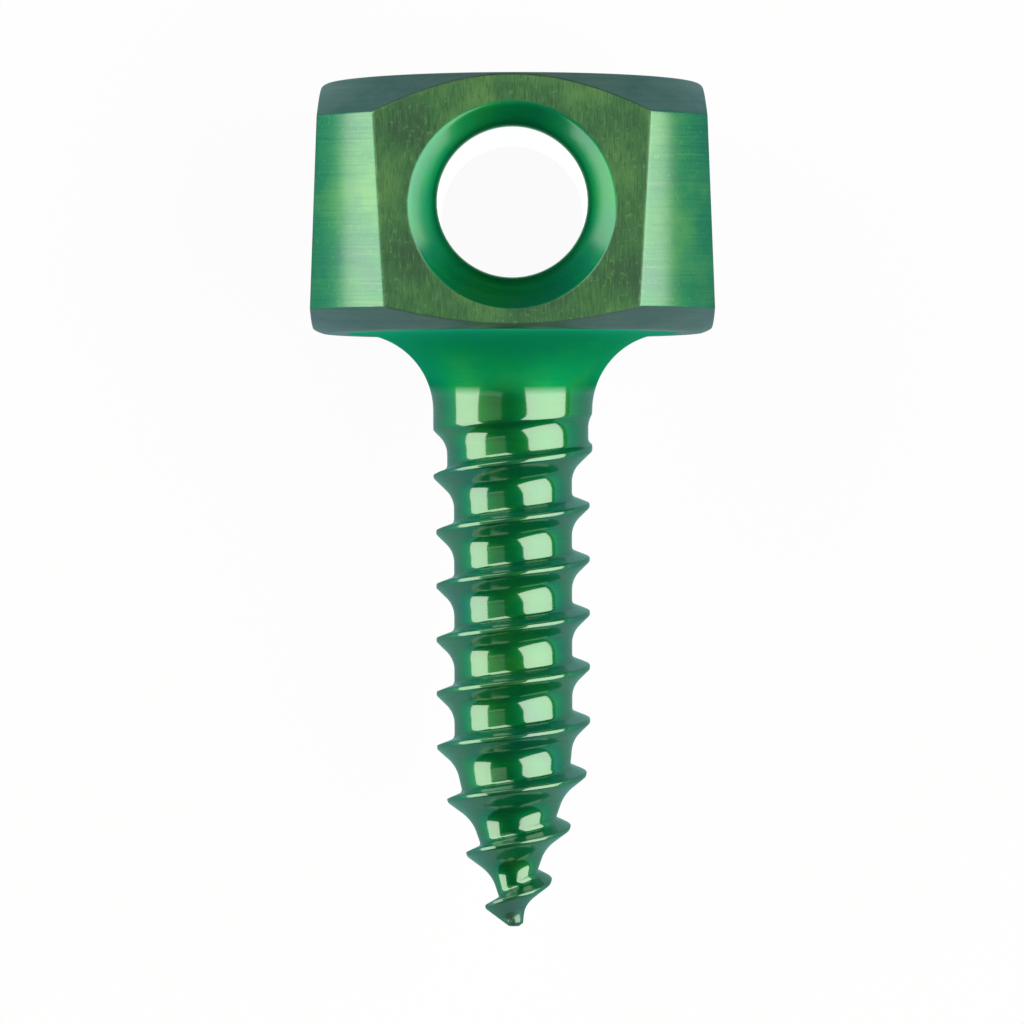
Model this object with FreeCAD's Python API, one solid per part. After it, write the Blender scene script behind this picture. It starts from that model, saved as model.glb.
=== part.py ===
import FreeCAD, Part

import math
import os

# Bone anchor screw: one piece of titanium, turned from round bar and milled.
# A square head with a cross-drilled eye for a suture or a wire stands on a round neck,
# and below the neck a coarse bone thread runs out in a conical point.
#
# The screw is drawn upright, with the crown of the head at z = 0, the point down and the
# eye facing -Y. Depths are measured down the axis from the crown. At the end the screw is
# laid on one flat of its head, as it comes to rest: the head outweighs the thread.
# Lengths are in millimetres and angles in degrees.

# Head: the bar is turned to a chamfer at both ends and milled square with a draft
bar_diameter = 10.88
head_height = 5.78
square_at_crown = 8.82
flat_draft = 2.25
crown_diameter = 8.70
crown_chamfer = 39.0
underside_diameter = 8.84
underside_chamfer = 25.5
corner_break = 0.10

# Eye through the head, with a rounded countersink at both mouths
eye_diameter = 3.40
eye_depth = 2.90
eye_mouth_diameter = 4.69
eye_mouth_angle = 45.0
eye_throat_radius = 0.45

# Neck under the head
neck_diameter = 3.70
neck_fillet = 1.80
neck_length = 3.39

# Thread
thread_length = 10.39
thread_diameter = 3.57
core_diameter = 2.74
pitch = 1.25
crest_width = 0.08
thread_shoulder = 0.50
first_crest_rise = 0.644
groove_start_angle = 61.0
groove_lift_per_turn = 0.463

# Sides of the thread, measured from the plane square to the axis
point_side_flank_angle = 44.0
head_side_flank_angle = 20.0
point_side_root_radius = 0.62
head_side_root_radius = 0.16

# Point of the screw
point_length = 3.61
point_angle = 19.5
point_blend_radius = 5.0
tip_angle = 53.0
tip_base_diameter = 1.30
tip_flat_diameter = 0.24
tip_core_diameter = 0.40
tip_core_blend = 0.08

# Construction of the thread surfaces: points on a helix, how far the groove's cutter stands
# out of the bar, and how far the chords of its root arcs stay from the true arc
points_per_turn = 16
cutter_reach = 0.50
chord_height = 0.03

# Depths below the crown that follow from the sizes
neck_end = head_height + neck_length
first_crest_depth = neck_end - first_crest_rise
overall_length = neck_end + thread_length
point_start = overall_length - point_length


def sine(angle):
    return math.sin(math.radians(angle))


def cosine(angle):
    return math.cos(math.radians(angle))


def tangent(angle):
    return math.tan(math.radians(angle))


def on_profile(radius, depth):
    """Point of a turned profile in the XZ plane."""
    return FreeCAD.Vector(radius, 0, -depth)


def rounded_profile(corners):
    """Edges through (radius, depth, rounding) corners, with an arc at each rounded one."""
    points = [on_profile(radius, depth) for radius, depth, _ in corners]
    edges = []
    start = points[0]
    for index in range(1, len(points) - 1):
        rounding = corners[index][2]
        corner = points[index]
        if rounding > 0:
            back = (points[index - 1] - corner).normalize()
            ahead = (points[index + 1] - corner).normalize()
            half = back.getAngle(ahead) / 2
            reach = rounding / math.tan(half)
            middle = (back + ahead).normalize() * (rounding / math.sin(half) - rounding)
            arc = Part.Arc(corner + back * reach, corner + middle, corner + ahead * reach)
            edges.append(Part.makeLine(start, corner + back * reach))
            edges.append(arc.toShape())
            start = corner + ahead * reach
        else:
            edges.append(Part.makeLine(start, corner))
            start = corner
    edges.append(Part.makeLine(start, points[-1]))
    return edges


def turned(corners, centre, axis):
    """Solid of revolution of a closed profile."""
    face = Part.Face(Part.Wire(rounded_profile(corners + [corners[0]])))
    return face.revolve(centre, axis, 360)


def cone_length(start_radius, end_radius, half_angle):
    return (start_radius - end_radius) / tangent(half_angle)


def turned_bar():
    """The bar turned to the outline of the screw, from the crown to the tip."""
    bar = bar_diameter / 2
    crown = crown_diameter / 2
    underside = underside_diameter / 2
    neck = neck_diameter / 2
    major = thread_diameter / 2
    tip_base = tip_base_diameter / 2
    tip_flat = tip_flat_diameter / 2
    crown_shoulder = (bar - crown) * tangent(crown_chamfer)
    lower_shoulder = head_height - (bar - underside) * tangent(underside_chamfer)
    tip_height = cone_length(tip_base, tip_flat, tip_angle)
    tip_start = point_start + cone_length(major, tip_base, point_angle)
    corners = [
        (0, 0, 0),
        (crown, 0, 0),
        (bar, crown_shoulder, 0),
        (bar, lower_shoulder, 0),
        (underside, head_height, 0),
        (neck, head_height, neck_fillet),
        (neck, neck_end, 0),
        (major, neck_end + thread_shoulder, 0),
        (major, point_start, point_blend_radius),
        (tip_base, tip_start, 0),
        (tip_flat, tip_start + tip_height, 0),
        (0, tip_start + tip_height, 0),
    ]
    return turned(corners, FreeCAD.Vector(0, 0, 0), FreeCAD.Vector(0, 0, 1))


def flat_distance(depth):
    """Distance of a head flat from the axis at a depth."""
    return square_at_crown / 2 + depth * tangent(flat_draft)


def milled_square():
    """Tapered square block over the head, widening toward the thread."""
    floor = head_height + neck_fillet
    corner = FreeCAD.Vector(-bar_diameter, -bar_diameter, -floor)
    block = Part.makeBox(2 * bar_diameter, 2 * bar_diameter, 2 * floor, corner)
    hinge = FreeCAD.Vector(square_at_crown / 2, 0, 0)
    for side in range(4):
        corner = FreeCAD.Vector(square_at_crown / 2, -2 * bar_diameter, -3 * floor)
        waste = Part.makeBox(bar_diameter, 4 * bar_diameter, 6 * floor, corner)
        waste.rotate(hinge, FreeCAD.Vector(0, 1, 0), -flat_draft)
        waste.rotate(FreeCAD.Vector(0, 0, 0), FreeCAD.Vector(0, 0, 1), 90 * side)
        block = block.cut(waste)
    return block


def corner_edges(solid):
    """The eight long edges where the milled flats meet the bar's own round."""
    edges = []
    for face in solid.Faces:
        rounded = face.Surface.TypeId == "Part::GeomCylinder"
        if rounded and face.CenterOfMass.z > -head_height:
            edges += [edge for edge in face.Edges if edge.BoundBox.ZLength > head_height / 2]
    return edges


def eye_cutter():
    """Bore with two rounded countersinks, across the head along Y."""
    bore = eye_diameter / 2
    mouth = eye_mouth_diameter / 2
    flat = flat_distance(eye_depth)
    throat = flat - (mouth - bore) / tangent(eye_mouth_angle)
    outside = bar_diameter
    flare = mouth + (outside - flat) * tangent(eye_mouth_angle)
    corners = [
        (0, -outside, 0),
        (flare, -outside, 0),
        (bore, -throat, eye_throat_radius),
        (bore, throat, eye_throat_radius),
        (flare, outside, 0),
        (0, outside, 0),
    ]
    cutter = turned(corners, FreeCAD.Vector(0, 0, 0), FreeCAD.Vector(0, 0, 1))
    cutter.rotate(FreeCAD.Vector(0, 0, 0), FreeCAD.Vector(1, 0, 0), 90)
    cutter.translate(FreeCAD.Vector(0, 0, -eye_depth))
    return cutter


def point_drop(depth):
    """How far the point has drawn in below the full thread radius at a depth."""
    reach = point_blend_radius * tangent(point_angle / 2)
    past = depth - point_start
    if past < -reach:
        return 0.0
    if past < reach * cosine(point_angle):
        return point_blend_radius - math.sqrt(point_blend_radius**2 - (past + reach) ** 2)
    return past * tangent(point_angle)


def groove_lift(turns):
    """How far the groove has climbed out of the neck, by turns from its full depth."""
    start = groove_start_angle / 360
    early = -start - turns
    soft = 0.05
    return groove_lift_per_turn * 0.5 * (early + math.sqrt(early**2 + soft**2))


def root_arc(corner, flank, radius, side):
    """Points of the arc that joins a flank to the bottom of the groove.

    The corner is where the flank would meet the bottom. The arc is stepped in chords that
    stay within chord_height of it.
    """
    turn = 90 - flank
    reach = radius * tangent(turn / 2)
    chord_turn = 2 * math.degrees(math.acos(1 - chord_height / radius))
    steps = math.ceil(turn / chord_turn)
    points = []
    for step in range(steps + 1):
        angle = turn * (1 - step / steps)
        along = reach - radius * sine(angle)
        points.append((corner[0] + side * along, corner[1] - radius * (1 - cosine(angle))))
    return points


def groove_section():
    """Groove outline over one pitch as (drop below the crest, thread radius less radius).

    It starts on the crest edge at the head side and ends on the next crest edge.
    """
    deep = (thread_diameter - core_diameter) / 2
    first = crest_width / 2
    last = pitch - crest_width / 2
    overlap = 0.35 * crest_width
    upper = tangent(point_side_flank_angle)
    lower = tangent(head_side_flank_angle)
    upper_corner = (first + deep * upper, deep)
    lower_corner = (last - deep * lower, deep)
    upper_arc = root_arc(upper_corner, point_side_flank_angle, point_side_root_radius, 1)
    lower_arc = root_arc(lower_corner, head_side_flank_angle, head_side_root_radius, -1)
    start = (first - overlap * upper, -overlap)
    end = (last + overlap * lower, -overlap)
    return [start] + upper_arc + lower_arc[::-1] + [end]


def groove_point(drop, inset, turns, outside=False):
    """Point of the groove's surface, or of its open side, at a count of turns."""
    depth = first_crest_depth + pitch * turns + drop
    radius = thread_diameter / 2 - point_drop(depth) - inset
    core = tip_core_diameter / 2
    gap = radius - core
    radius = core + 0.5 * (gap + math.sqrt(gap**2 + tip_core_blend**2))
    radius = radius + groove_lift(turns)
    if outside:
        radius = neck_diameter / 2 + cutter_reach + groove_lift(turns)
    angle = 360 * turns
    return FreeCAD.Vector(radius * cosine(angle), -radius * sine(angle), -depth)


def helix_curve(drop, inset, outside, stations):
    """Smooth curve through one point of the section as it winds round the axis."""
    points = [groove_point(drop, inset, turns, outside) for turns in stations]
    curve = Part.BSplineCurve()
    curve.interpolate(Points=points, Parameters=list(stations))
    return curve


def strip(near, far):
    """Ruled strip of surface between two curves that share their knots."""
    surface = Part.BSplineSurface()
    surface.buildFromPolesMultsKnots(
        [near.getPoles(), far.getPoles()],
        [2, 2],
        near.getMultiplicities(),
        [0.0, 1.0],
        near.getKnots(),
        False,
        False,
        1,
        near.Degree,
    )
    return surface.toShape()


def groove_cutter():
    """Solid that takes the thread groove out of the turned bar, built up turn by turn."""
    first = -1.45
    last = (overall_length + pitch - first_crest_depth) / pitch
    count = int((last - first) * points_per_turn)
    stations = [first + (last - first) * i / count for i in range(count + 1)]
    section = groove_section()
    curves = [helix_curve(drop, inset, False, stations) for drop, inset in section]
    curves.append(helix_curve(section[-1][0], section[-1][1], True, stations))
    curves.append(helix_curve(section[0][0], section[0][1], True, stations))
    faces = []
    for end in (0, -1):
        corners = [curve.getPoles()[end] for curve in curves]
        faces.append(Part.Face(Part.makePolygon(corners + corners[:1])))
    turns = int(last - first)
    for turn in range(turns):
        start = first + (last - first) * turn / turns
        end = first + (last - first) * (turn + 1) / turns
        pieces = [curve.copy() for curve in curves]
        for piece in pieces:
            piece.segment(start, end)
        for near, far in zip(pieces, pieces[1:] + pieces[:1]):
            faces.append(strip(near, far))
    shell = Part.makeShell(faces)
    shell.sewShape()
    solid = Part.makeSolid(shell)
    if solid.Volume < 0:
        solid.reverse()
    return solid


def anchor_screw():
    """The whole screw, upright."""
    waist = head_height + neck_fillet
    side = 4 * bar_diameter
    below = Part.makeBox(side, side, side, FreeCAD.Vector(-side / 2, -side / 2, -side - waist))
    body = turned_bar().common(milled_square().fuse(below)).removeSplitter().Solids[0]
    body = body.makeChamfer(corner_break, corner_edges(body))
    body = body.cut(eye_cutter())
    return body.cut(groove_cutter()).Solids[0]


screw = anchor_screw()

# Lay the screw down flush on one flat of its head, with the eye facing up and the head
# toward +Y, and move the origin to the middle of its underside.
screw.rotate(FreeCAD.Vector(0, 0, 0), FreeCAD.Vector(1, 0, 0), -90 - flat_draft)
box = screw.optimalBoundingBox(False)
screw.translate(FreeCAD.Vector(-box.Center.x, -box.Center.y, -box.ZMin))

os.makedirs("parts", exist_ok=True)
screw.exportStep("parts/anchor_screw.step")
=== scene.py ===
import bmesh
import bpy
import numpy as np
from mathutils import Matrix, Vector


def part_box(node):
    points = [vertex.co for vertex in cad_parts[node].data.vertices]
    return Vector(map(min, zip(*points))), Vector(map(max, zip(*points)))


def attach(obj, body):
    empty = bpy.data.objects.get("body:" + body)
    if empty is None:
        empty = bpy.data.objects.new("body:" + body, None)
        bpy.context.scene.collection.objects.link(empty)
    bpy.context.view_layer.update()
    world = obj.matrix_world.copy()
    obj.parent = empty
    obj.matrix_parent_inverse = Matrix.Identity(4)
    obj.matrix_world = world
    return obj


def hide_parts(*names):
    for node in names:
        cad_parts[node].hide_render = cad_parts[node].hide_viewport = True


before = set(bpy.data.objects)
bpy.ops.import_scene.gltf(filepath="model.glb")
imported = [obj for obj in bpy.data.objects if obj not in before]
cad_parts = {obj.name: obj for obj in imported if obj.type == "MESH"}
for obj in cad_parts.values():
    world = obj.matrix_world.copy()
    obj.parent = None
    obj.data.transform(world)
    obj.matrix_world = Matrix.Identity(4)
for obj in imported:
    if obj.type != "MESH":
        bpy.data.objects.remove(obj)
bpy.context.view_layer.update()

# Head
#
# Titanium bar turned to a chamfer at both ends and milled square with a draft, which leaves
# four corners of the bar's own round between the four flats. All edges are broken.
bar_radius = 5.44
half_square = 4.41
draft = np.radians(2.25)
head_height = 5.78
crown_radius = 4.35
underside_radius = 4.42
crown_chamfer = np.radians(39.0)
underside_chamfer = np.radians(25.5)
edge_round = 0.035
crown_shoulder = (bar_radius - crown_radius) * np.tan(crown_chamfer)
lower_shoulder = head_height - (bar_radius - underside_radius) * np.tan(underside_chamfer)
columns_per_flat = 32
(turned_finish, milled_finish, bored_finish,
 corner_finish, chamfer_painted_grey_finish, reamed_finish) = range(6)

# The eye is a hole bored across the head, with a countersink at each mouth and a rounded
# throat, so that a suture or a cable isn't cut.
eye_radius = 1.70
eye_depth = 2.90
mouth_radius = 2.345
throat_round = 0.13
mouth_bulge = 0.045
throat = half_square + eye_depth * np.tan(draft) - (mouth_radius - eye_radius)

# The screw is worked out upright in millimetres, the crown at z = 0, the point down and the
# eye facing -Y. It lies flush on one flat, so it is tipped by a right angle and the draft.
crown_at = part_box("anchor_screw")[1].y * 1000 - crown_radius * np.sin(draft)
axis_at = half_square * np.cos(draft)


def laid(points):
    """Upright points in mm, turned about X onto the flat and moved to the shared frame, in m."""
    x, y, z = points[..., 0], points[..., 1], points[..., 2]
    along = crown_at + z * np.cos(draft) - y * np.sin(draft)
    up = axis_at - y * np.cos(draft) - z * np.sin(draft)
    return np.stack([x, along, up], -1) / 1000


def rounded_largest(a, b, reach):
    """The larger of two fields, with the corner between them rounded over the given reach."""
    near = np.maximum(reach - np.abs(a - b), 0) / reach
    return np.maximum(a, b) + near**2 * reach / 4


def head_field(p):
    """Distance outside the head: the largest of the distances outside its planes, cones,
    round and eye, with each edge rounded."""
    x, y, z = p[..., 0], p[..., 1], p[..., 2]
    r = np.hypot(x, y)
    crown_cone = (r - crown_radius) * np.sin(crown_chamfer) + z * np.cos(crown_chamfer)
    lower_cone = (r - underside_radius) * np.sin(underside_chamfer)
    lower_cone = lower_cone - (z + head_height) * np.cos(underside_chamfer)
    solid = z
    for outside in (crown_cone, r - bar_radius, lower_cone, -z - head_height):
        solid = rounded_largest(solid, outside, edge_round)
    milled = (np.maximum(np.abs(x), np.abs(y)) - half_square) * np.cos(draft) + z * np.sin(draft)
    solid = rounded_largest(solid, milled, edge_round)
    q = np.hypot(x, z + eye_depth)
    sink = (eye_radius + np.abs(y) - throat - q) * np.sqrt(0.5)
    half_width = (mouth_radius - eye_radius) * np.sqrt(0.5)
    across = (q - eye_radius + np.abs(y) - throat) * np.sqrt(0.5) - half_width
    sink = sink - mouth_bulge * np.maximum(1 - (across / half_width) ** 2, 0)
    eye = rounded_largest(eye_radius - q, sink, throat_round)
    return rounded_largest(solid, eye, edge_round)


def settled(points):
    """Points moved onto the zero of the head's field, by Newton steps along its slope."""
    step, least_slope = 1e-4, 0.05
    for _ in range(5):
        value = head_field(points)
        slope = np.zeros_like(points)
        for axis in range(3):
            shift = np.zeros(3)
            shift[axis] = step
            slope[..., axis] = head_field(points + shift) - head_field(points - shift)
        slope = slope / (2 * step)
        size = np.maximum((slope**2).sum(-1), least_slope)
        points = points - (value / size)[..., None] * slope
    return points


def bar_at(depth):
    """Radius of the turned head at a depth: chamfer, round, chamfer."""
    above = crown_radius + depth / np.tan(crown_chamfer)
    below = underside_radius + (head_height - depth) / np.tan(underside_chamfer)
    return np.minimum(bar_radius, np.minimum(above, below))


def flat_at(depth):
    """Distance of a flat from the axis at a depth."""
    return half_square + depth * np.tan(draft)


def round_axis(radius, angle, depth):
    """Upright points at a radius, an angle about the axis and a depth under the crown."""
    return np.stack(
        np.broadcast_arrays(radius * np.cos(angle), radius * np.sin(angle), -depth), -1
    )


def eased(first, last, count, power=1.0):
    """Steps from first to last that grow with the given power of their number."""
    return first + (last - first) * (np.arange(count + 1) / count) ** power


patches = []


def keep_patch(points, finish):
    """Quads between neighbours of a grid of points, kept with the number of their finish,
    which is one number or a number for each row of quads."""
    rows, columns = points.shape[:2]
    place = np.arange(rows * columns).reshape(rows, columns)
    quads = np.stack([place[:-1, :-1], place[:-1, 1:], place[1:, 1:], place[1:, :-1]], -1)
    finishes = np.reshape(finish, (-1, 1)) + 0 * quads[..., 0]
    patches.append((laid(points).reshape(-1, 3), quads.reshape(-1, 4), finishes.ravel()))


# Depths of the rows of the head. A flat's outline starts and ends where the chamfers are as
# wide as the square, and the rows are close together there and at the two shoulders.
top = (half_square - crown_radius) / (1 / np.tan(crown_chamfer) - np.tan(draft))
bottom = underside_radius - half_square + head_height / np.tan(underside_chamfer)
bottom = bottom / (np.tan(draft) + 1 / np.tan(underside_chamfer))
close = np.array([0.015, 0.03, 0.055, 0.09])
rows = np.concatenate([
    eased(top, crown_shoulder - 0.13, 15, 2.0),
    crown_shoulder - close[::-1],
    [crown_shoulder],
    crown_shoulder + close,
    eased(crown_shoulder + 0.2, lower_shoulder - 0.2, 14),
    lower_shoulder - close[::-1],
    [lower_shoulder],
    lower_shoulder + close[:3],
    eased(bottom, lower_shoulder + 0.09, 13, 2.0)[::-1],
])
edge_angle = np.arccos(np.minimum(flat_at(rows) / bar_at(rows), 1))
edge_steps = np.array([0, 0.014, 0.03, 0.052, 0.085])
rim_steps = np.array([0, 0.014, 0.03, 0.055, 0.09])[:, None]


def corner_columns(start, radius):
    """Angles from one flat's edge to the next one's, close together at both edges."""
    share = np.linspace(0, 1, columns_per_flat + 1 - 2 * (len(edge_steps) - 1))[1:-1]
    start, radius = start[:, None], radius[:, None]
    first = start + edge_steps / radius
    last = np.pi / 2 - first[:, ::-1]
    middle = first[:, -1:] + (last[:, :1] - first[:, -1:]) * share
    return np.concatenate([first, middle, last], 1)


def all_round(angles):
    """The angles of one corner carried round the four quarters and closed to a full turn."""
    quarters = [angles[:-1] + quarter * np.pi / 2 for quarter in range(4)]
    return np.concatenate([*quarters, [2 * np.pi]])


# The turned surface of each corner, with the chamfers' narrow rings above and below
ring_depths = np.concatenate([[0, top / 2], rows, [bottom + 0.03, bottom + 0.06, head_height]])
ring_starts = np.concatenate([[0, 0], edge_angle, [0, 0, 0]])
ring_radii = bar_at(ring_depths)
corner_angles = corner_columns(ring_starts, ring_radii)
above, below = ring_depths[:-1], ring_depths[1:]
between = (above > crown_shoulder - 1e-6) & (below < lower_shoulder + 1e-6)
ring_finish = np.where(between, corner_finish, chamfer_painted_grey_finish)
for quarter in range(4):
    angle = corner_angles + quarter * np.pi / 2
    corner = round_axis(ring_radii[:, None], angle, ring_depths[:, None])
    keep_patch(settled(corner), ring_finish)

# The crown's face, from its rim to the middle
rim_angles = all_round(corner_angles[0])
crown_radii = crown_radius - np.concatenate([edge_steps, [0.3, 1.0, 2.0, 3.0, 3.8]])
crown_face = settled(round_axis(crown_radii[:, None], rim_angles, 0.0))
keep_patch(np.concatenate([crown_face, np.zeros((1, len(rim_angles), 3))]), chamfer_painted_grey_finish)

# The flats. Those with the eye run from its rim to their outline, the others from their middle
edge_x = np.sqrt(np.maximum(bar_at(rows) ** 2 - flat_at(rows) ** 2, 0))
outline_x = np.concatenate([edge_x, -edge_x[-2:0:-1], edge_x[:1]])
outline_z = -np.concatenate([rows, rows[-2:0:-1], rows[:1]]) + eye_depth
outline_reach = np.hypot(outline_x, outline_z)
turn = np.arctan2(outline_z, outline_x)
rim_reach = mouth_radius / (1 + np.sin(turn) * np.tan(draft))
inner = rim_reach + rim_steps
outer = outline_reach - rim_steps[::-1]
middle = inner[-1] + (outer[0] - inner[-1]) * np.array([[0.33], [0.67]])
eye_flat_reach = np.concatenate([inner, middle, outer])
plain_reach = np.concatenate(
    [[0 * outline_reach], outer[0] * np.array([[0.3], [0.6], [0.85]]), outer]
)


def on_flat(reach, side):
    """Points of a flat at a reach and turn about its middle, for the side that it faces."""
    across = reach * np.cos(turn)
    z = reach * np.sin(turn) - eye_depth
    out = flat_at(-z)
    if side in ("front", "back"):
        return np.stack([across, -out if side == "front" else out, z], -1)
    return np.stack([out if side == "right" else -out, across, z], -1)


for side in ("front", "back"):
    keep_patch(settled(on_flat(eye_flat_reach, side)), milled_finish)
for side in ("left", "right"):
    keep_patch(settled(on_flat(plain_reach, side)), milled_finish)

# The eye's wall: countersink, throat, bore, and the same again to the other mouth
rim_out = flat_at(eye_depth - rim_reach * np.sin(turn))
throat_steps = np.array([[0.27], [0.22], [0.17], [0.13], [0.09], [0.05], [0]]) + 0 * rim_out
bore_out = np.array([[2.9], [2.1], [1.2], [0.4]]) + 0 * rim_out
sink_out = np.concatenate([
    rim_out - rim_steps, throat + throat_steps, throat - throat_steps[-2::-1], bore_out
])
sink_reach = np.maximum(eye_radius + sink_out - throat, eye_radius)
front_wall = np.stack(
    [sink_reach * np.cos(turn), -sink_out, sink_reach * np.sin(turn) - eye_depth], -1
)
back_wall = front_wall[::-1] * np.array([1, -1, 1])
wall = np.concatenate([front_wall, back_wall])
in_bore = np.abs(wall[:, 0, 1]) < throat + 1e-6
wall_finish = np.where(in_bore[:-1] & in_bore[1:], reamed_finish, bored_finish)
keep_patch(settled(wall), wall_finish)

# Neck, thread and point
#
# Below the head the bar is turned to a round neck with a wide fillet. A coarse bone thread
# is cut from there to the point: its groove runs out into the neck, draws in with the cone of
# the point and ends in a blunt tip.
neck_radius = 1.85
neck_fillet = 1.80
waist = head_height + neck_fillet
neck_end = 9.17
shoulder = 0.50
thread_radius = 1.785
core_radius = 1.37
pitch = 1.25
crest_width = 0.08
first_crest = neck_end - 0.644
overall = 19.56
point_start = overall - 3.61
point_angle = np.radians(19.5)
point_blend = 5.0
tip_base = 0.65
tip_flat = 0.12
tip_angle = np.radians(53.0)
tip_core = 0.20
tip_begins = point_start + (thread_radius - tip_base) / np.tan(point_angle)
tip_ends = tip_begins + (tip_base - tip_flat) / np.tan(tip_angle)
point_flank = np.radians(44.0)
head_flank = np.radians(20.0)
point_root = 0.62
head_root = 0.16
core_round = 0.08
crest_round = 0.016
first_crest_round = 0.014
groove_start = -61 / 360
groove_lift = 0.463
lift_round = 0.05
per_turn = 4 * columns_per_flat
early_steps = 184
first_turn = -early_steps / per_turn
far_out = 9


def drawn_in(depth):
    """How far the point's cone, with an arc before it, has drawn in at a depth."""
    reach = point_blend * np.tan(point_angle / 2)
    past = depth - point_start
    arc = point_blend - np.sqrt(np.maximum(point_blend**2 - (past + reach) ** 2, 0))
    drop = np.where(past < reach * np.cos(point_angle), arc, past * np.tan(point_angle))
    return np.where(past < -reach, 0, drop)


def shank_at(depth):
    """Radius of the turned shank: fillet, neck, shoulder, thread, cone and tip."""
    rise = np.clip(waist - depth, 0, neck_fillet)
    fillet = neck_radius + neck_fillet - np.sqrt(neck_fillet**2 - rise**2)
    narrowing = np.clip((depth - neck_end) / shoulder, 0, 1)
    thread = neck_radius + (thread_radius - neck_radius) * narrowing - drawn_in(depth)
    tip = tip_base - (depth - tip_begins) * np.tan(tip_angle)
    return np.minimum(
        np.where(depth < waist, fillet, thread), np.where(depth > tip_begins, tip, far_out)
    )


def section_inset(drop):
    """Depth of the groove below the crest: a slope, an arc, the bottom, an arc and a steep
    slope, each side carried on in a straight line past its crest."""
    deep = thread_radius - core_radius
    first, last = crest_width / 2, pitch - crest_width / 2
    upper = (drop - first) / np.tan(point_flank)
    lower = (last - drop) / np.tan(head_flank)
    corner = first + deep * np.tan(point_flank)
    reach = point_root * np.tan((np.pi / 2 - point_flank) / 2)
    centre = corner + reach
    arc = deep - point_root + np.sqrt(np.maximum(point_root**2 - (drop - centre) ** 2, 0))
    start = centre - point_root * np.cos(point_flank)
    upper = np.where(drop < start, upper, np.where(drop < centre, arc, deep))
    corner = last - deep * np.tan(head_flank)
    reach = head_root * np.tan((np.pi / 2 - head_flank) / 2)
    centre = corner - reach
    arc = deep - head_root + np.sqrt(np.maximum(head_root**2 - (drop - centre) ** 2, 0))
    start = centre + head_root * np.cos(head_flank)
    lower = np.where(drop > start, lower, np.where(drop > centre, arc, deep))
    return np.minimum(upper, lower)


def groove_at(turns, depth):
    """Radius of the groove of one turn: thread less cone less section, held off the axis by a
    core, and lifted out of the neck before its start."""
    inset = section_inset(depth - first_crest - pitch * turns)
    gap = thread_radius - drawn_in(depth) - inset - tip_core
    early = groove_start - turns
    lift = groove_lift * 0.5 * (early + np.sqrt(early**2 + lift_round**2))
    radius = tip_core + 0.5 * (gap + np.sqrt(gap**2 + core_round**2)) + lift
    return np.where(turns < first_turn, far_out, radius)


def threaded(turns, depth):
    """Radius of the threaded shank: the smallest of the bar and the grooves that pass, with
    the crests rounded, those of the first turn most."""
    in_first_turn = np.clip((first_crest + 1.6 - depth) / 0.6, 0, 1)
    soft = crest_round + first_crest_round * in_first_turn
    radius = shank_at(depth)
    for other in (-1, 0, 1):
        radius = -rounded_largest(-radius, -groove_at(turns + other, depth), soft)
    return radius


# One strip winds down the shank. Its width is the thread's pitch, and its first turn widens
# from nothing, so that it begins at a level ring. Its columns are close where the groove bends.
wedge_turn = first_turn - 1
point_arc, head_arc = 0.7038, 0.947
drops = np.concatenate([
    [-0.04, -0.02, 0, 0.02, 0.04, 0.07, 0.12, 0.18, 0.273],
    point_arc - point_root * np.cos(np.radians(eased(50, 86, 6))),
    [0.704, 0.78, 0.86, head_arc],
    head_arc + head_root * np.sin(np.radians(eased(12, 70, 4))),
    [1.12, 1.15, 1.18, 1.21],
])
thread_steps = int((tip_ends - first_crest) / pitch * per_turn)
steps = np.arange(thread_steps + 2 * per_turn + early_steps + 1)
turns = (wedge_turn + steps / per_turn)[:, None]
level = first_crest + pitch * first_turn - crest_width / 2
share = (drops + crest_width / 2) / pitch
depth = np.where(
    turns < first_turn,
    level + pitch * (turns - wedge_turn) * share,
    first_crest + pitch * turns + drops,
)
depth = np.minimum(depth, tip_ends)
keep_patch(round_axis(threaded(turns, depth), -2 * np.pi * turns, depth), turned_finish)

# The ring of the head's underside and the fillet above the strip. Their points move over from
# the corners' angles to the strip's even ones.
even_angles = np.arange(per_turn + 1) * 2 * np.pi / per_turn
face_radii = underside_radius - np.concatenate([edge_steps, [0.3, 0.55]])
round_fillet = np.linspace(0, np.pi / 2 - np.arcsin((waist - level) / neck_fillet), 16)
fillet_radii = neck_radius + neck_fillet - neck_fillet * np.sin(round_fillet)
fillet_depths = waist - neck_fillet * np.cos(round_fillet)
radii = np.concatenate([face_radii, fillet_radii])[:, None]
depths = np.concatenate([0 * face_radii + head_height, fillet_depths])[:, None]
row = np.arange(len(radii))
share = np.clip((row - 5) / 8, 0, 1)[:, None]
angles = all_round(corner_angles[-1]) * (1 - share) + even_angles * share
underside = round_axis(radii, angles, depths)
on_edge = len(edge_steps)
underside[:on_edge] = settled(underside[:on_edge])
on_face = row[:-1] < len(face_radii) - 1
keep_patch(underside, np.where(on_face, chamfer_painted_grey_finish, turned_finish))

# The end of the tip
keep_patch(round_axis(np.array([[tip_flat], [0]]), -even_angles, tip_ends), turned_finish)

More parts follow.
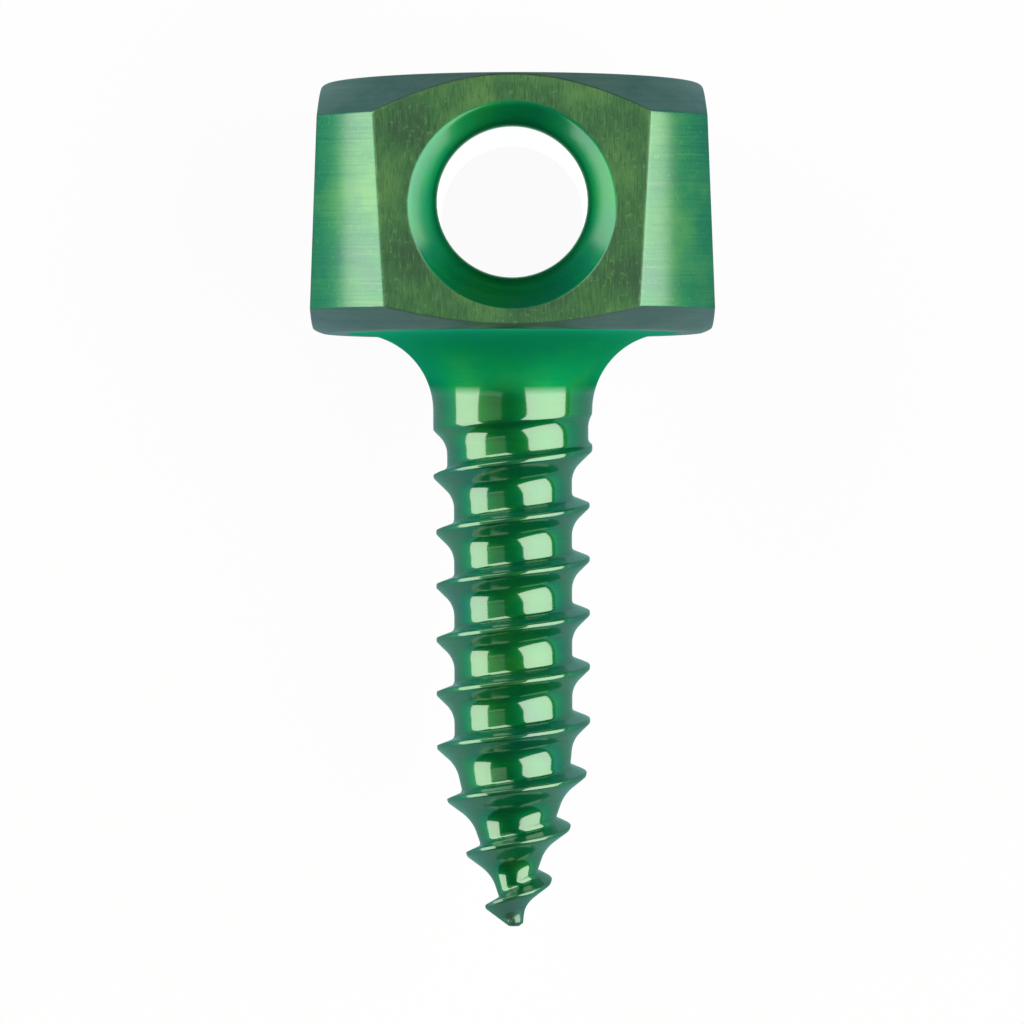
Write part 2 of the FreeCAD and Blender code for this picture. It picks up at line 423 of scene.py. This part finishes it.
# The screw
#
# All surfaces are one piece of titanium alloy, anodised green as a whole: a clear oxide film
# over the metal. The patches share their border points, which are merged, so that the skin is
# closed.
merge_distance = 4e-7
counts = np.cumsum([0] + [len(points) for points, _, _ in patches])
mesh = bpy.data.meshes.new("screw")
mesh.from_pydata(
    np.concatenate([points for points, _, _ in patches]),
    [],
    np.concatenate([quads + start for (_, quads, _), start in zip(patches, counts)]),
)
mesh.attributes.new("finish", "INT", "FACE")
mesh.attributes["finish"].data.foreach_set(
    "value", np.concatenate([finish for _, _, finish in patches]).astype(np.int32)
)
work = bmesh.new()
work.from_mesh(mesh)
bmesh.ops.remove_doubles(work, verts=work.verts, dist=merge_distance)
bmesh.ops.dissolve_degenerate(work, edges=work.edges, dist=merge_distance / 4)
bmesh.ops.recalc_face_normals(work, faces=work.faces)
work.to_mesh(mesh)
work.free()
mesh.shade_smooth()
screw = bpy.data.objects.new("screw", mesh)
bpy.context.scene.collection.objects.link(screw)
finish = np.zeros(len(mesh.polygons), np.int32)
mesh.attributes["finish"].data.foreach_get("value", finish)
mesh.attributes.remove(mesh.attributes["finish"])

# How sharply the skin bends at each point, from 0 on plain faces to 1 on edges and crests
plain_bend, bend_range = 2500, 9000
place = np.empty(3 * len(mesh.vertices), np.float32)
mesh.vertices.foreach_get("co", place)
normal = np.empty(3 * len(mesh.vertices), np.float32)
mesh.vertices.foreach_get("normal", normal)
ends = np.empty(2 * len(mesh.edges), np.int32)
mesh.edges.foreach_get("vertices", ends)
place, normal, ends = place.reshape(-1, 3), normal.reshape(-1, 3), ends.reshape(-1, 2)
step = place[ends[:, 1]] - place[ends[:, 0]]
bend = ((normal[ends[:, 1]] - normal[ends[:, 0]]) * step).sum(1) / (step**2).sum(1)
total = sum(np.bincount(ends[:, side], bend, len(place)) for side in (0, 1))
count = sum(np.bincount(ends[:, side], minlength=len(place)) for side in (0, 1))
sharpness = np.clip((total / np.maximum(count, 1) - plain_bend) / bend_range, 0, 1)
mesh.attributes.new("edge", "FLOAT", "POINT").data.foreach_set(
    "value", sharpness.astype(np.float32)
)


def effect(name, inputs, outputs):
    """Empty node group with named inputs (name, kind, value) and outputs (name, kind)."""
    tree = bpy.data.node_groups.new(name, "ShaderNodeTree")
    for label, kind, value in inputs:
        tree.interface.new_socket(label, in_out="INPUT", socket_type=kind).default_value = value
    for label, kind in outputs:
        tree.interface.new_socket(label, in_out="OUTPUT", socket_type=kind)
    return tree, tree.nodes.new("NodeGroupInput"), tree.nodes.new("NodeGroupOutput")


def ranged(tree, value, low, high, to_low, to_high):
    """Map Range node of a tree, with its input linked to a value."""
    node = tree.nodes.new("ShaderNodeMapRange")
    node.inputs["From Min"].default_value = low
    node.inputs["From Max"].default_value = high
    node.inputs["To Min"].default_value = to_low
    node.inputs["To Max"].default_value = to_high
    tree.links.new(value, node.inputs["Value"])
    return node.outputs["Result"]


def worked(tree, operation, *values, clamp=False):
    """Math node of a tree, each value a socket or a number."""
    node = tree.nodes.new("ShaderNodeMath")
    node.operation = operation
    node.use_clamp = clamp
    for value, socket in zip(values, node.inputs):
        if isinstance(value, (int, float)):
            socket.default_value = value
        else:
            tree.links.new(value, socket)
    return node.outputs[0]


def blended(tree, share, first, second):
    """Mix node between two colours, each a socket or a value, by a share."""
    node = tree.nodes.new("ShaderNodeMix")
    node.data_type = "RGBA"
    tree.links.new(share, node.inputs["Factor"])
    for label, colour in (("A", first), ("B", second)):
        socket = [i for i in node.inputs if i.name == label and i.type == "RGBA"][0]
        if isinstance(colour, tuple):
            socket.default_value = (*colour, 1)
        else:
            tree.links.new(colour, socket)
    return [o for o in node.outputs if o.type == "RGBA"][0]


def noise_at(tree, vector, scale, detail, roughness=0.5):
    """Value of a noise texture that reads a vector."""
    node = tree.nodes.new("ShaderNodeTexNoise")
    node.inputs["Scale"].default_value = scale
    node.inputs["Detail"].default_value = detail
    node.inputs["Roughness"].default_value = roughness
    tree.links.new(vector, node.inputs["Vector"])
    return node.outputs["Fac"]


# The oxide's colour comes from its thickness, which drifts a little over the surface
cloud_scale = 650
tone, given, result = effect(
    "oxide_tone",
    [("Position", "NodeSocketVector", (0, 0, 0)),
     ("Oxide", "NodeSocketColor", (0, 0.3, 0.1, 1)),
     ("Thin", "NodeSocketColor", (0.1, 0.3, 0.05, 1)),
     ("Thick", "NodeSocketColor", (0, 0.25, 0.2, 1))],
    [("Color", "NodeSocketColor")],
)
drift = noise_at(tone, given.outputs["Position"], cloud_scale, 3, 0.6)
colour = given.outputs["Oxide"]
for label, low, high in (("Thin", 0.5, 0.66), ("Thick", 0.48, 0.34)):
    colour = blended(tone, ranged(tone, drift, low, high, 0, 0.8), colour, given.outputs[label])
tone.links.new(colour, result.inputs["Color"])

# Tool marks are fine lines, drawn out along the way that the tool went, and small specks
speck_scale = 9000
marks, given, result = effect(
    "tool_marks",
    [("Position", "NodeSocketVector", (0, 0, 0)),
     ("Lines Per Metre", "NodeSocketVector", (1, 1, 1))],
    [("Lines", "NodeSocketFloat"), ("Scratches", "NodeSocketFloat"),
     ("Specks", "NodeSocketFloat")],
)
stretched = marks.nodes.new("ShaderNodeVectorMath")
stretched.operation = "MULTIPLY"
marks.links.new(given.outputs["Position"], stretched.inputs[0])
marks.links.new(given.outputs["Lines Per Metre"], stretched.inputs[1])
lines = noise_at(marks, stretched.outputs["Vector"], 1.0, 4, 0.65)
specks = noise_at(marks, given.outputs["Position"], speck_scale, 2)
for label, value, low, high in (
    ("Lines", lines, 0.3, 0.7), ("Scratches", lines, 0.58, 0.70), ("Specks", specks, 0.60, 0.72)
):
    marks.links.new(ranged(marks, value, low, high, 0, 1), result.inputs[label])

# Edges and crests are rubbed unevenly by handling and the tray, and so is the end of the tip
rub_scale = 4200
tip_rub_from, tip_rub_to = -0.0089, -0.0093
wear, given, result = effect(
    "edge_wear",
    [("Position", "NodeSocketVector", (0, 0, 0)),
     ("Edge", "NodeSocketFloat", 0.0),
     ("Amount", "NodeSocketFloat", 1.0)],
    [("Worn", "NodeSocketFloat")],
)
uneven = noise_at(wear, given.outputs["Position"], rub_scale, 3)
worn = worked(wear, "MULTIPLY", given.outputs["Edge"], ranged(wear, uneven, 0.38, 0.62, 0.25, 1))
worn = worked(wear, "MULTIPLY", worn, given.outputs["Amount"])
where = wear.nodes.new("ShaderNodeSeparateXYZ")
wear.links.new(given.outputs["Position"], where.inputs[0])
tip_worn = ranged(wear, where.outputs["Y"], tip_rub_from, tip_rub_to, 0, 0.5)
worn = worked(wear, "MAXIMUM", worn, tip_worn)
wear.links.new(worn, result.inputs["Worn"])

# The clear oxide film mirrors the lamps white, and seen edge-on the metal turns blue-green.
# In the fillet, above the waist, the surface is rougher and has no mirroring film. A lighter green
# is painted light there, which keeps the fillet bright without the film's reflections.
film_index = 2.4
edge_on_tint = (0.4, 0.9, 1.0)
sheen_tint = (0.04, 0.85, 0.76)
sheen_roughness = 0.42
bare_metal = (0.20, 0.26, 0.26)
fillet_painted_light_green = (0.02, 1.0, 0.45)
fillet_painted_light_share = 0.22
waist_at = (crown_at - waist) / 1000
painted_light_from, painted_light_to = waist_at + 0.0003, waist_at + 0.0009
film_from, film_to = waist_at + 0.00042, waist_at + 0.00062
rough_spread = 0.05
mark_height = 4e-6


def anodised(name, tool_lines, oxide, thin, thick, roughness, film, film_roughness,
             line_depth, worn, sheen=0.0, fillet=False):
    """Principled metal under a clear oxide film, for one finish of the screw. Scratches and
    specks take the thin oxide's colour and furrows the thick one's, as far as the lines are
    deep, and rubbed places are bare and have no film."""
    material = bpy.data.materials.new(name)
    material.use_nodes = True
    tree = material.node_tree
    nodes, links = tree.nodes, tree.links
    shader = nodes["Principled BSDF"]
    shader.inputs["Metallic"].default_value = 1
    shader.inputs["Specular Tint"].default_value = (*edge_on_tint, 1)
    shader.inputs["Coat Roughness"].default_value = film_roughness
    shader.inputs["Coat IOR"].default_value = film_index
    shader.inputs["Sheen Weight"].default_value = sheen
    shader.inputs["Sheen Roughness"].default_value = sheen_roughness
    shader.inputs["Sheen Tint"].default_value = (*sheen_tint, 1)
    coordinates = nodes.new("ShaderNodeTexCoord").outputs["Object"]
    edge = nodes.new("ShaderNodeAttribute")
    edge.attribute_name = "edge"

    def used(group, **values):
        """Group node at the object's coordinates, its other inputs set by their names."""
        node = nodes.new("ShaderNodeGroup")
        node.node_tree = group
        links.new(coordinates, node.inputs["Position"])
        for label, value in values.items():
            node.inputs[label.replace("_", " ")].default_value = value
        return node

    colour = used(tone, Oxide=(*oxide, 1), Thin=(*thin, 1), Thick=(*thick, 1)).outputs["Color"]
    tooled = used(marks, Lines_Per_Metre=tool_lines).outputs
    for label, low, high, oxide_there in (
        ("Scratches", 0, 1, thin), ("Lines", 0.5, 0, thick), ("Specks", 0, 1, thin)
    ):
        share = ranged(tree, tooled[label], low, high, 0, line_depth)
        colour = blended(tree, share, colour, oxide_there)
    rubbed = used(wear, Amount=worn)
    links.new(edge.outputs["Fac"], rubbed.inputs["Edge"])
    rubbed = rubbed.outputs["Worn"]
    rough = ranged(
        tree, tooled["Lines"], 0, 1, roughness - rough_spread, roughness + rough_spread
    )
    coat = ranged(tree, tooled["Lines"], 0, 1, film * (1 - 0.5 * line_depth), film)
    coat = worked(tree, "SUBTRACT", coat, rubbed, clamp=True)
    if fillet:
        apart = nodes.new("ShaderNodeSeparateXYZ")
        links.new(coordinates, apart.inputs[0])
        along = apart.outputs["Y"]
        # Painted light: a lighter green in the fillet stands in for the light that its film no
        # longer mirrors
        share = ranged(tree, along, painted_light_from, painted_light_to, 0, fillet_painted_light_share)
        colour = blended(tree, share, colour, fillet_painted_light_green)
        rough = worked(tree, "ADD", rough, share)
        coat = worked(tree, "MULTIPLY", coat, ranged(tree, along, film_from, film_to, 1, 0))
    links.new(blended(tree, rubbed, colour, bare_metal), shader.inputs["Base Color"])
    links.new(rough, shader.inputs["Roughness"])
    links.new(coat, shader.inputs["Coat Weight"])
    bump = nodes.new("ShaderNodeBump")
    bump.inputs["Strength"].default_value = line_depth
    bump.inputs["Distance"].default_value = mark_height
    links.new(tooled["Lines"], bump.inputs["Height"])
    links.new(bump.outputs["Normal"], shader.inputs["Normal"])
    return material


# The six finishes, in the order of their numbers. Turning leaves rings about the axis, the
# mill a grain along the flats, and the drill and the reamer rings about the eye.
rings, grain, bore_rings = (400, 26000, 400), (24000, 2600, 24000), (900, 900, 26000)
finishes = [
    anodised(
        "anodised_turned", rings, (0.001, 0.20, 0.045), (0.02, 0.23, 0.03), (0.001, 0.16, 0.09),
        roughness=0.52, film=1.0, film_roughness=0.09, line_depth=0.25, worn=0.5,
        sheen=0.22, fillet=True,
    ),
    anodised(
        "anodised_milled", grain, (0.024, 0.16, 0.036), (0.10, 0.27, 0.065), (0.008, 0.08, 0.025),
        roughness=0.57, film=0.65, film_roughness=0.42, line_depth=0.8, worn=0.5,
    ),
    anodised(
        "anodised_bored", bore_rings, (0.001, 0.30, 0.11), (0.01, 0.32, 0.07), (0.001, 0.23, 0.14),
        roughness=0.56, film=0.42, film_roughness=0.2, line_depth=0.4, worn=0.3,
    ),
    anodised(
        "anodised_corner", rings, (0.004, 0.22, 0.06), (0.07, 0.30, 0.06), (0.001, 0.16, 0.09),
        roughness=0.50, film=0.85, film_roughness=0.24, line_depth=0.6, worn=0.5,
    ),
    # Painted reflection: this finish's greyer colour stands in for the grey that the chamfers, the
    # crown's face and the underside ring mirror edge-on
    anodised(
        "anodised_chamfer_painted_grey", rings, (0.13, 0.18, 0.13), (0.18, 0.22, 0.15), (0.05, 0.12, 0.085),
        roughness=0.52, film=0.9, film_roughness=0.26, line_depth=0.5, worn=0.7,
    ),
    anodised(
        "anodised_reamed", bore_rings, (0.001, 0.27, 0.08), (0.01, 0.30, 0.05), (0.001, 0.21, 0.11),
        roughness=0.40, film=1.0, film_roughness=0.04, line_depth=0.2, worn=0.0,
    ),
]
for material in finishes:
    mesh.materials.append(material)
mesh.polygons.foreach_set("material_index", finish)

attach(screw, "root")
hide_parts("anchor_screw")

# Floor
#
# A plain sheet of paper that the screw lies on, white to the camera, with a trace of shadow.
# In the metal's reflections it glows dimmer and cooler, as a studio's surroundings are. It has
# painted shade near the screw and one painted bright spot under the eye, which makes the eye's wall
# mirror white.
paper_color = (0.8, 0.8, 0.8)
paper_glow = 0.95
shaded_near_reflection, far_reflection = (0.25, 0.38, 0.39), (0.12, 0.44, 0.44)
near_reach, far_reach = 0.0065, 0.014
painted_spot_glow = (1.4, 1.35, 1.35)
painted_spot_inner, painted_spot_outer = 0.0026, 0.0030
floor_mesh = bpy.data.meshes.new("floor")
floor_mesh.from_pydata([(-1, -1, 0), (1, -1, 0), (1, 1, 0), (-1, 1, 0)], [], [(0, 1, 2, 3)])
floor = bpy.data.objects.new("floor", floor_mesh)
bpy.context.scene.collection.objects.link(floor)
paper = bpy.data.materials.new("pale_paper")
paper.use_nodes = True
tree = paper.node_tree
nodes, links = tree.nodes, tree.links
nodes.clear()
own = nodes.new("ShaderNodeTexCoord").outputs["Object"]
apart = nodes.new("ShaderNodeSeparateXYZ")
links.new(own, apart.inputs[0])
aside = worked(tree, "ABSOLUTE", apart.outputs["X"])
# Painted shade: the glow seen in reflections is dimmer near the screw
colour = blended(
    tree, ranged(tree, aside, near_reach, far_reach, 0, 1), shaded_near_reflection, far_reflection
)
# Painted light: a bright spot under the eye glows in reflections only, so that the eye's wall
# mirrors white
from_eye = nodes.new("ShaderNodeVectorMath")
from_eye.operation = "DISTANCE"
from_eye.inputs[1].default_value = (0, (crown_at - eye_depth) / 1000, 0)
links.new(own, from_eye.inputs[0])
in_painted_spot = ranged(tree, from_eye.outputs["Value"], painted_spot_inner, painted_spot_outer, 1, 0)
colour = blended(tree, in_painted_spot, colour, painted_spot_glow)
path = nodes.new("ShaderNodeLightPath").outputs
colour = blended(tree, path["Is Camera Ray"], colour, (1.0, 1.0, 1.0))
mirrored = worked(tree, "MAXIMUM", path["Is Glossy Ray"], path["Is Transmission Ray"])
glowing = worked(tree, "MULTIPLY_ADD", path["Is Camera Ray"], paper_glow, mirrored)
plain = nodes.new("ShaderNodeBsdfDiffuse")
plain.inputs["Color"].default_value = (*paper_color, 1)
glow = nodes.new("ShaderNodeEmission")
links.new(colour, glow.inputs["Color"])
mix = nodes.new("ShaderNodeMixShader")
links.new(glowing, mix.inputs[0])
links.new(plain.outputs[0], mix.inputs[1])
links.new(glow.outputs[0], mix.inputs[2])
out = nodes.new("ShaderNodeOutputMaterial")
links.new(mix.outputs[0], out.inputs[0])
floor_mesh.materials.append(paper)

# Light
#
# Two tall softboxes stand left and right of the screw and make the patches of light down the
# thread. Three smaller ones fill in between the left one and the camera, and the camera's own
# side stays dark. The room is white to the camera only.
eye_front = Vector((0, np.sin(draft), np.cos(draft)))
toward_crown = Vector((0, np.cos(draft), -np.sin(draft)))
view_depth = 0.0095
middle_of_view = Vector((0, crown_at, axis_at)) / 1000 - toward_crown * view_depth
softbox_distance = 0.30
softbox_color = (0.93, 1.0, 0.85)
room_light = 0.006


def softbox(name, degrees, width, height, strength, lean=0.0):
    """Area lamp at an angle from the view direction toward +X, facing the screw, moved up
    the screw by its lean."""
    angle = np.radians(degrees)
    lamp = bpy.data.lights.new(name, "AREA")
    lamp.shape = "RECTANGLE"
    lamp.size = width
    lamp.size_y = height
    lamp.energy = strength * width * height * np.pi
    lamp.color = softbox_color
    direction = eye_front * np.cos(angle) + Vector((1, 0, 0)) * np.sin(angle)
    direction = (direction + toward_crown * lean).normalized()
    side = toward_crown.cross(direction).normalized()
    facing = Matrix((side, direction.cross(side), direction)).transposed().to_4x4()
    box = bpy.data.objects.new(name, lamp)
    box.matrix_world = Matrix.Translation(middle_of_view + direction * softbox_distance) @ facing
    bpy.context.scene.collection.objects.link(box)


softbox("left_main", -70.5, 0.212, 0.48, 2.8, -0.14)
softbox("left_upper", -34, 0.19, 0.17, 2.6, 0.52)
softbox("left_lower", -34, 0.19, 0.04, 0.4, -0.40)
softbox("left_middle", -34, 0.19, 0.18, 0.2)
softbox("right_softbox", 51, 0.36, 0.48, 2.9, -0.14)

world = bpy.data.worlds.new("room")
bpy.context.scene.world = world
world.use_nodes = True
tree = world.node_tree
sky = tree.nodes["Background"]
sky.inputs["Color"].default_value = (1, 1, 1, 1)
seen = tree.nodes.new("ShaderNodeLightPath").outputs["Is Camera Ray"]
tree.links.new(ranged(tree, seen, 0, 1, room_light, 1), sky.inputs["Strength"])

# Camera
#
# It looks down along the eye, square to the lying screw, through a long lens that gives the
# photo's scale. The screw is a little off the picture's middle and upright, as in the photo.
pixels_per_mm = 43.0
picture_pixels = 1024
camera_distance = 138
camera_lean = -0.0023
camera_data = bpy.data.cameras.new("camera")
camera_data.sensor_width = 36
camera_data.lens = pixels_per_mm * camera_distance / picture_pixels * 36
camera_data.shift_x = -0.0009
camera_data.shift_y = -0.018
camera_data.clip_start = 0.01
camera = bpy.data.objects.new("camera", camera_data)
right = toward_crown.cross(eye_front).normalized()
upright = Matrix((right, toward_crown, eye_front)).transposed()
turned = (upright @ Matrix.Rotation(camera_lean, 3, "Z")).to_4x4()
camera_at = middle_of_view + eye_front * (camera_distance / 1000)
camera.matrix_world = Matrix.Translation(camera_at) @ turned
bpy.context.scene.collection.objects.link(camera)
bpy.context.scene.camera = camera
bpy.context.scene.view_settings.view_transform = "Standard"
